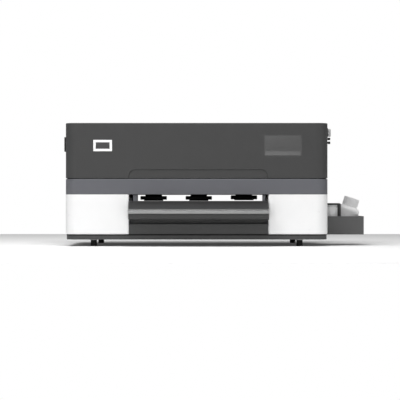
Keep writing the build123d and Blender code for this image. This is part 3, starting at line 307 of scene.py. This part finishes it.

# painted shade: a dark wire round the shallow recess in the lid's front, standing in for the shadow along
# its edge
RECESS_X = (-260, 271)
RECESS_TOP = 295
RECESS_R = 27
RECESS_SHADE_R = 1.4
ARC_STEPS = 12
LID_Z = case_low.z / MM
arc_z = RECESS_TOP - RECESS_R
recess_shade_points = [(RECESS_X[0], LID_Z + 2)]
for centre_x, start in ((RECESS_X[0] + RECESS_R, 180), (RECESS_X[1] - RECESS_R, 90)):
    for i in range(ARC_STEPS + 1):
        a = math.radians(start - 90 * i / ARC_STEPS)
        recess_shade_points.append((centre_x + RECESS_R * math.cos(a), arc_z + RECESS_R * math.sin(a)))
recess_shade_points.append((RECESS_X[1], LID_Z + 2))
bm = bmesh.new()
add_wire(bm, [at(x, 0.7, z) for x, z in recess_shade_points], RECESS_SHADE_R, steps=8)
finish_piece(bm, "recess_painted_shade", motor_black_and_painted_shade, "lid")

vent_low, vent_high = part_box("exhaust_vent")
bm = bmesh.new()
foam_x = case_low.x + 3.6 * MM
add_plate(bm, (foam_x, vent_low.y + 3 * MM, vent_low.z + 3 * MM),
          (foam_x + 5 * MM, vent_high.y - 3 * MM, vent_high.z - 3 * MM), 1)
finish_piece(bm, "vent_filter", filter_foam, "lid")

button_low, button_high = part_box("main_button")
BEZEL_W = 3
BEZEL_GAP = 1
bm = bmesh.new()
bezel_x = (case_high.x, case_high.x + 2.4 * MM)
inner_y = (button_low.y - BEZEL_GAP * MM, button_high.y + BEZEL_GAP * MM)
inner_z = (button_low.z - BEZEL_GAP * MM, button_high.z + BEZEL_GAP * MM)
outer_y = (inner_y[0] - BEZEL_W * MM, inner_y[1] + BEZEL_W * MM)
outer_z = (inner_z[0] - BEZEL_W * MM, inner_z[1] + BEZEL_W * MM)
for y0, y1 in ((outer_y[0], inner_y[0]), (inner_y[1], outer_y[1])):
    add_plate(bm, (bezel_x[0], y0, outer_z[0]), (bezel_x[1], y1, outer_z[1]), 0.8)
for z0, z1 in ((outer_z[0], inner_z[0]), (inner_z[1], outer_z[1])):
    add_plate(bm, (bezel_x[0], inner_y[0] - MM, z0), (bezel_x[1], inner_y[1] + MM, z1), 0.8)
finish_piece(bm, "main_button_bezel", black_plastic, "lid")

# ---- seal between the grey frame and the lid ----
frame_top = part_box("mid_frame")[1].z / MM
SEAL_H = 2.6
seal_section = ((5.0, 0), (4.6, SEAL_H * 0.6), (6.0, SEAL_H), (8.0, SEAL_H), (9.4, SEAL_H * 0.6), (9.0, 0))
bm = bmesh.new()
add_skin(bm, [case_outline(inset, frame_top + h) for inset, h in seal_section], closed_loop=True)
finish_piece(bm, "lid_seal", gasket_black_and_painted_shade, "chassis")

# ---- painted shade: a near-black ring in the gap between the pan and the side covers, standing in for the shadow there ----
pan_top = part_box("base_plate")[1].z / MM
GAP_SHADE_Z = (pan_top - 3.9, pan_top - 0.1)
GAP_SHADE_INSET = (3.2, 10.8)
bm = bmesh.new()
gap_shade_section = [(GAP_SHADE_INSET[i], GAP_SHADE_Z[j]) for i, j in ((0, 0), (0, 1), (1, 1), (1, 0))]
add_skin(bm, [case_outline(inset, z) for inset, z in gap_shade_section], closed_loop=True)
finish_piece(bm, "cover_gap_painted_shade", gasket_black_and_painted_shade, "chassis")

# ---- slot cheeks: grey faces on the two inner ones ----
slot_low, slot_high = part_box("slot_cheeks")
bm = bmesh.new()
CHEEK_XS = ((-243.2, -225.8), (252.5, 262.2))
CHEEK_Y = (5.4, 40)
for x0, x1 in CHEEK_XS:
    low = (MID_X + x0 * MM, FRONT_Y + CHEEK_Y[0] * MM, slot_low.z)
    add_plate(bm, low, (MID_X + x1 * MM, FRONT_Y + CHEEK_Y[1] * MM, slot_high.z), 1.5)
finish_piece(bm, "cheek_faces", frame_grey, "chassis")

# ---- screws ----
def add_screw(bm, place, axis, radius=3.6, height=1.8):
    """A round screw head with a hexagon socket."""
    head = [(radius, 0), (radius, height * 0.5), (radius * 0.8, height * 0.9), (radius * 0.5, height)]
    socket = [(radius * 0.45, height), (radius * 0.42, height * 0.35)]
    add_turned(bm, place, axis, head + socket, steps=18)


rear_y = case_high.y
half_w = (case_high.x - case_low.x) / MM / 2
CASE_DEPTH = 640
COVER_SCREW_INSETS = (70, 190)
COVER_SCREW_ZS = (62, 184)
FRAME_SCREW_INSETS = (60, 230)
FRAME_SCREW_Z = 244
bm = bmesh.new()
for side in (-1, 1):
    for inset in COVER_SCREW_INSETS:
        for z in COVER_SCREW_ZS:
            add_screw(bm, at(side * (half_w - inset), CASE_DEPTH, z), (0, 1, 0))
    for inset in FRAME_SCREW_INSETS:
        add_screw(bm, at(side * (half_w - inset), CASE_DEPTH, FRAME_SCREW_Z), (0, 1, 0))
finish_piece(bm, "rear_cover_screws", steel, "chassis")

bm = bmesh.new()
rail_low, rail_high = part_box("linear_rail")
RAIL_SCREWS = 16
for i in range(RAIL_SCREWS):
    x = rail_low.x + (i + 0.5) * (rail_high.x - rail_low.x) / RAIL_SCREWS
    centre = (x, rail_low.y + 0.05 * MM, (rail_low.z + rail_high.z) / 2)
    add_turned(bm, centre, (0, -1, 0), [(3.2, -0.2), (3.2, 0.15), (2.2, 0.15), (2.0, -0.1)], steps=20)
finish_piece(bm, "rail_screws", motor_black_and_painted_shade, "chassis")

hood_low, hood_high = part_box("carriage_cover")
bm = bmesh.new()
HOOD_SCREW_INSET = 16
for x in (hood_low.x + HOOD_SCREW_INSET * MM, hood_high.x - HOOD_SCREW_INSET * MM):
    for y in (hood_low.y + HOOD_SCREW_INSET * MM, hood_high.y - HOOD_SCREW_INSET * MM):
        add_screw(bm, (x, y, hood_high.z), (0, 0, 1), 3.2, 1.6)
finish_piece(bm, "carriage_cover_screws", steel, "carriage")

# ---- feet: washers under the pan ----
bm = bmesh.new()
foot_low, foot_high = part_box("rubber_feet")
FOOT_R = 12
for x in (foot_low.x + FOOT_R * MM, foot_high.x - FOOT_R * MM):
    for y in (foot_low.y + FOOT_R * MM, foot_high.y - FOOT_R * MM):
        washer = [(FOOT_R + 1, -2.6), (FOOT_R + 3, -2.2), (FOOT_R + 3, -0.4), (FOOT_R + 2.6, 0)]
        add_turned(bm, (x, y, foot_high.z), (0, 0, 1), washer)
finish_piece(bm, "foot_washers", steel, "chassis")

# ---- belt teeth on the upper run, motor end caps ----
belt_low, belt_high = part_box("carriage_belt")
BELT_T = 1.5
TOOTH_PITCH = 5
TOOTH_W = 2.4
TEETH_INSET = 12
teeth_x = (rail_low.x + TEETH_INSET * MM, rail_high.x - TEETH_INSET * MM)
tooth_top = belt_high.z - BELT_T * MM
bm = bmesh.new()
for i in range(int((teeth_x[1] - teeth_x[0]) / (TOOTH_PITCH * MM))):
    x = teeth_x[0] + i * TOOTH_PITCH * MM
    low = (x, belt_low.y + 0.3 * MM, tooth_top - 1.1 * MM)
    add_plate(bm, low, (x + TOOTH_W * MM, belt_high.y - 0.3 * MM, tooth_top + 0.1 * MM), 0.4)
finish_piece(bm, "belt_teeth", black_rubber, "chassis")

bm = bmesh.new()
motor_low, motor_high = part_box("carriage_motor")
CAP_PROUD = 0.3
front_cap = (motor_low.y + 0.1 * MM, motor_low.y + 9 * MM)
back_cap = (motor_high.y - 10 * MM, motor_high.y + CAP_PROUD * MM)
for y0, y1 in (front_cap, back_cap):
    low = (motor_low.x - CAP_PROUD * MM, y0, motor_low.z - CAP_PROUD * MM)
    add_plate(bm, low, (motor_high.x + CAP_PROUD * MM, y1, motor_high.z + CAP_PROUD * MM), 3)
finish_piece(bm, "carriage_motor_caps", aluminium, "chassis")

bm = bmesh.new()
plug = (motor_low.x - 4 * MM, motor_high.y - 24 * MM, motor_low.z + 10 * MM)
add_plate(bm, plug, (motor_low.x + MM, motor_high.y - 14 * MM, motor_high.z - 10 * MM), 0.8)
finish_piece(bm, "carriage_motor_socket", badge_white, "chassis")

# ---- pinch arm springs on their shaft ----
SPRING_TURNS = 6
SPRING_R = 5.4
SPRING_WIRE_R = 0.65
SPRING_STEPS = 16         # points in one turn
SPRING_PITCH = 1.7
SPRING_START = 36         # from the middle of the arm
bm = bmesh.new()
for number in (1, 2, 3):
    arm_low, arm_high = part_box(f"pinch_arm_{number}")
    shaft_low, shaft_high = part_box("pinch_shaft")
    arm_x = (arm_low.x + arm_high.x) / 2
    centre_y, centre_z = (shaft_low.y + shaft_high.y) / 2, (shaft_low.z + shaft_high.z) / 2
    for side in (-1, 1):
        coil = []
        for i in range(SPRING_TURNS * SPRING_STEPS + 1):
            a = 2 * math.pi * i / SPRING_STEPS
            x = arm_x + side * (SPRING_START + SPRING_PITCH * i / SPRING_STEPS) * MM
            coil.append((x, centre_y + SPRING_R * MM * math.cos(a), centre_z + SPRING_R * MM * math.sin(a)))
        last = Vector(coil[-1])
        coil += [last + Vector((side * 0.4, 2, 7)) * MM, last + Vector((side * 0.6, 3, 15)) * MM]
        add_wire(bm, coil, SPRING_WIRE_R, steps=6)
finish_piece(bm, "pinch_springs", steel, "chassis", crease=60)

# ---- capping station: pads and wiper ----
sled_low, sled_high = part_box("cap_sled")
sled_x = (sled_low.x + sled_high.x) / 2
bm = bmesh.new()
PAD_CENTRES = (-30, 30)
PAD_HALF = 15
PAD_INSET = 11
for dx in PAD_CENTRES:
    low = (sled_x + (dx - PAD_HALF) * MM, sled_low.y + PAD_INSET * MM, sled_high.z - 9.5 * MM)
    high = (sled_x + (dx + PAD_HALF) * MM, sled_high.y - PAD_INSET * MM, sled_high.z - 4 * MM)
    add_plate(bm, low, high, 1.2)
finish_piece(bm, "cap_pads", pad_foam, "cap_sled")

bm = bmesh.new()
add_plate(bm, (sled_low.x + 3 * MM, sled_low.y + 6 * MM, sled_high.z - 16 * MM),
          (sled_low.x + 5 * MM, sled_high.y - 6 * MM, sled_high.z - 0.6 * MM), 0.6)
finish_piece(bm, "wiper_blade", wiper_rubber, "cap_sled")

# ---- lamp windows under the carriage ----
lamp_low, lamp_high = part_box("uv_lamps")
LAMP_W = 27
bm = bmesh.new()
for x in (lamp_low.x, lamp_high.x - LAMP_W * MM):
    add_plate(bm, (x + 5.2 * MM, lamp_low.y + 6.2 * MM, lamp_low.z + 0.6 * MM),
              (x + (LAMP_W - 5.2) * MM, lamp_high.y - 6.2 * MM, lamp_low.z + 1.8 * MM), 0.3)
finish_piece(bm, "lamp_windows", lamp_glass, "carriage")

# ---- rear: fan guard, inlet pins, knurled spindle knobs ----
fan_low, fan_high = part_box("fan_frame")
fan_x, fan_z = (fan_low.x + fan_high.x) / 2, (fan_low.z + fan_high.z) / 2
guard_y = rear_y + 1.6 * MM
bm = bmesh.new()
GUARD_RADII = (8, 15, 22, 29, 36, 43)
SPOKES = 4
EYE_R = 50.5
for radius in GUARD_RADII:
    add_wire(bm, circle_points((fan_x, guard_y, fan_z), (0, 1, 0), radius), 0.8, closed=True)
for i in range(SPOKES):
    a = math.radians(45 + 90 * i)
    spoke_y = guard_y + 1.3 * MM
    spoke = [(fan_x + r * MM * math.cos(a), spoke_y, fan_z + r * MM * math.sin(a)) for r in (5, 20, 35, 50)]
    add_wire(bm, spoke, 0.9)
    eye = (fan_x + EYE_R * MM * math.cos(a), rear_y, fan_z + EYE_R * MM * math.sin(a))
    add_screw(bm, eye, (0, 1, 0), 3.4, 3.4)
finish_piece(bm, "fan_guard", steel, "chassis", crease=50)

inlet_x, inlet_z = 170, 100
bm = bmesh.new()
PIN_PLACES = ((-7, -2), (0, 2), (7, -2))
PIN_HALF_W = 1.2
PIN_HALF_H = 2.2
PIN_Y = (630, 639.4)
for dx, dz in PIN_PLACES:
    low = at(inlet_x + dx - PIN_HALF_W, PIN_Y[0], inlet_z + dz - PIN_HALF_H)
    add_plate(bm, low, at(inlet_x + dx + PIN_HALF_W, PIN_Y[1], inlet_z + dz + PIN_HALF_H), 0.6)
finish_piece(bm, "inlet_pins", steel, "chassis")

spindle_low, spindle_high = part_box("roll_spindle")
spindle_y, spindle_z = (spindle_low.y + spindle_high.y) / 2, (spindle_low.z + spindle_high.z) / 2
RIDGES = 28
KNOB_R = 11
bm = bmesh.new()
for side, start in ((-1, spindle_low.x + MM), (1, spindle_high.x - 8 * MM)):
    for i in range(RIDGES):
        a = 2 * math.pi * i / RIDGES
        place = (spindle_y + KNOB_R * MM * math.cos(a), spindle_z + KNOB_R * MM * math.sin(a))
        add_wire(bm, [(start, *place), (start + 3.5 * MM, *place), (start + 7 * MM, *place)], 0.8, steps=6)
finish_piece(bm, "spindle_knurling", black_plastic, "roll_spindle")

# ---- ink tray: floor mat, grips on the caps ----
tray_low, tray_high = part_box("ink_tray")
TRAY_T = 2
mat_x = (tray_high.x - 74 * MM, tray_high.x - (TRAY_T + 2) * MM)
mat_y = (tray_low.y + (TRAY_T + 2) * MM, tray_low.y + 144 * MM)
mat_z = tray_low.z + TRAY_T * MM
bm = bmesh.new()
add_plate(bm, (mat_x[0], mat_y[0], mat_z), (mat_x[1], mat_y[1], mat_z + 1.2 * MM), 0.5)
MAT_RIBS = 11
RIB_PITCH = 12.6
rib_xs = (mat_x[0] + 4 * MM, (mat_x[0] + mat_x[1]) / 2, mat_x[1] - 4 * MM)
for i in range(MAT_RIBS):
    y = mat_y[0] + (6 + RIB_PITCH * i) * MM
    ends = [(x, y, mat_z + 1.2 * MM) for x in rib_xs]
    add_wire(bm, ends, 1.1)
finish_piece(bm, "tray_mat", black_rubber, "chassis")


def add_grips(bm, base, axis, radius, length, count, wire_r=0.55):
    """Ribs round a screw cap, along its axis; sizes in millimetres."""
    axis = Vector(axis).normalized()
    for point in circle_points(base, axis, radius, count):
        add_wire(bm, [point + axis * (t * length * MM) for t in (0, 0.5, 1)], wire_r, steps=6)


LEAN = math.radians(18)
CAP_R = 30.5
CAP_H = 35
cap_low, cap_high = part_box("white_bottle_cap")
cap_axis = Vector((math.sin(LEAN), 0, math.cos(LEAN)))
cap_centre = (Vector(cap_low) + Vector(cap_high)) / 2
bm = bmesh.new()
add_grips(bm, cap_centre - cap_axis * (CAP_H / 2 - 4) * MM, cap_axis, CAP_R - 0.1, CAP_H - 8, 44)
crown = [(27, 0), (26, 0.7), (3, 0.9)]
add_turned(bm, cap_centre + cap_axis * (CAP_H / 2 - 0.3) * MM, cap_axis, crown, steps=40)
finish_piece(bm, "white_cap_grips", cap_white, "white_bottle_cap")

grey_low, grey_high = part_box("grey_ink_bottle")
bm = bmesh.new()
grey_centre = ((grey_low.x + grey_high.x) / 2, (grey_low.y + grey_high.y) / 2, grey_high.z - 6 * MM)
add_grips(bm, grey_centre, (0, 0, 1), 23, 5, 36, 0.45)
finish_piece(bm, "grey_cap_grips", motor_black_and_painted_shade, "chassis")

# ---- floor, light, camera ----
def pale_floor():
    """A plain floor under the machine, a little self-lit so that its shadow stays grey."""
    half_x, half_y = 2.6, 2.2
    mesh = bpy.data.meshes.new("floor")
    corners = [(-half_x, -half_y, 0), (half_x, -half_y, 0), (half_x, half_y, 0), (-half_x, half_y, 0)]
    mesh.from_pydata(corners, [], [(0, 1, 2, 3)])
    floor = bpy.data.objects.new("floor", mesh)
    bpy.context.scene.collection.objects.link(floor)
    look = bpy.data.materials.new("floor_white")
    look.use_nodes = True
    shader = look.node_tree.nodes["Principled BSDF"]
    shader.inputs["Base Color"].default_value = (0.88, 0.88, 0.88, 1)
    shader.inputs["Roughness"].default_value = 0.9
    shader.inputs["Specular IOR Level"].default_value = 0.1
    shader.inputs["Emission Color"].default_value = (1, 1, 1, 1)
    shader.inputs["Emission Strength"].default_value = 0.05
    mesh.materials.append(look)


def area_light(name, place, target, size, power):
    """A soft rectangular light aimed at a point."""
    data = bpy.data.lights.new(name, "AREA")
    data.shape = "RECTANGLE"
    data.size, data.size_y = size
    data.energy = power
    light = bpy.data.objects.new(name, data)
    light.location = place
    light.rotation_euler = (Vector(target) - Vector(place)).to_track_quat("-Z", "Y").to_euler()
    bpy.context.scene.collection.objects.link(light)
    return light


def studio_world(seen, lit):
    """A white backdrop that lights the machine less than it shows."""
    world = bpy.data.worlds.new("studio")
    bpy.context.scene.world = world
    world.use_nodes = True
    tree = world.node_tree
    backdrop = tree.nodes["Background"]
    backdrop.inputs["Color"].default_value = (1, 1, 1, 1)
    backdrop.inputs["Strength"].default_value = seen
    ambient = tree.nodes.new("ShaderNodeBackground")
    ambient.inputs["Color"].default_value = (1, 1, 1, 1)
    ambient.inputs["Strength"].default_value = lit
    path = tree.nodes.new("ShaderNodeLightPath")
    mix = tree.nodes.new("ShaderNodeMixShader")
    tree.links.new(path.outputs["Is Camera Ray"], mix.inputs["Fac"])
    tree.links.new(ambient.outputs["Background"], mix.inputs[1])
    tree.links.new(backdrop.outputs["Background"], mix.inputs[2])
    tree.links.new(mix.outputs["Shader"], tree.nodes["World Output"].inputs["Surface"])


pale_floor()
studio_world(seen=1.0, lit=0.3)
bpy.context.scene.view_settings.view_transform = "Standard"

area_light("top", (-0.5, -1.4, 2.9), (0, 0, 0), (2.4, 1.8), 97)
area_light("key", (-2.6, -4.2, 2.2), (0, 0, 0.3), (2.2, 1.8), 22)
area_light("right", (3.2, -2.6, 1.4), (0.3, 0, 0.2), (1.6, 1.6), 11)

CAMERA_DISTANCE = 7.0
camera_data = bpy.data.cameras.new("camera")
camera_data.lens = 164.9
camera_data.sensor_width = 36
camera = bpy.data.objects.new("camera", camera_data)
camera.location = at(12.8, -1000 * CAMERA_DISTANCE, 177.3)
camera.rotation_euler = (math.radians(90), 0, 0)
bpy.context.scene.collection.objects.link(camera)
bpy.context.scene.camera = camera
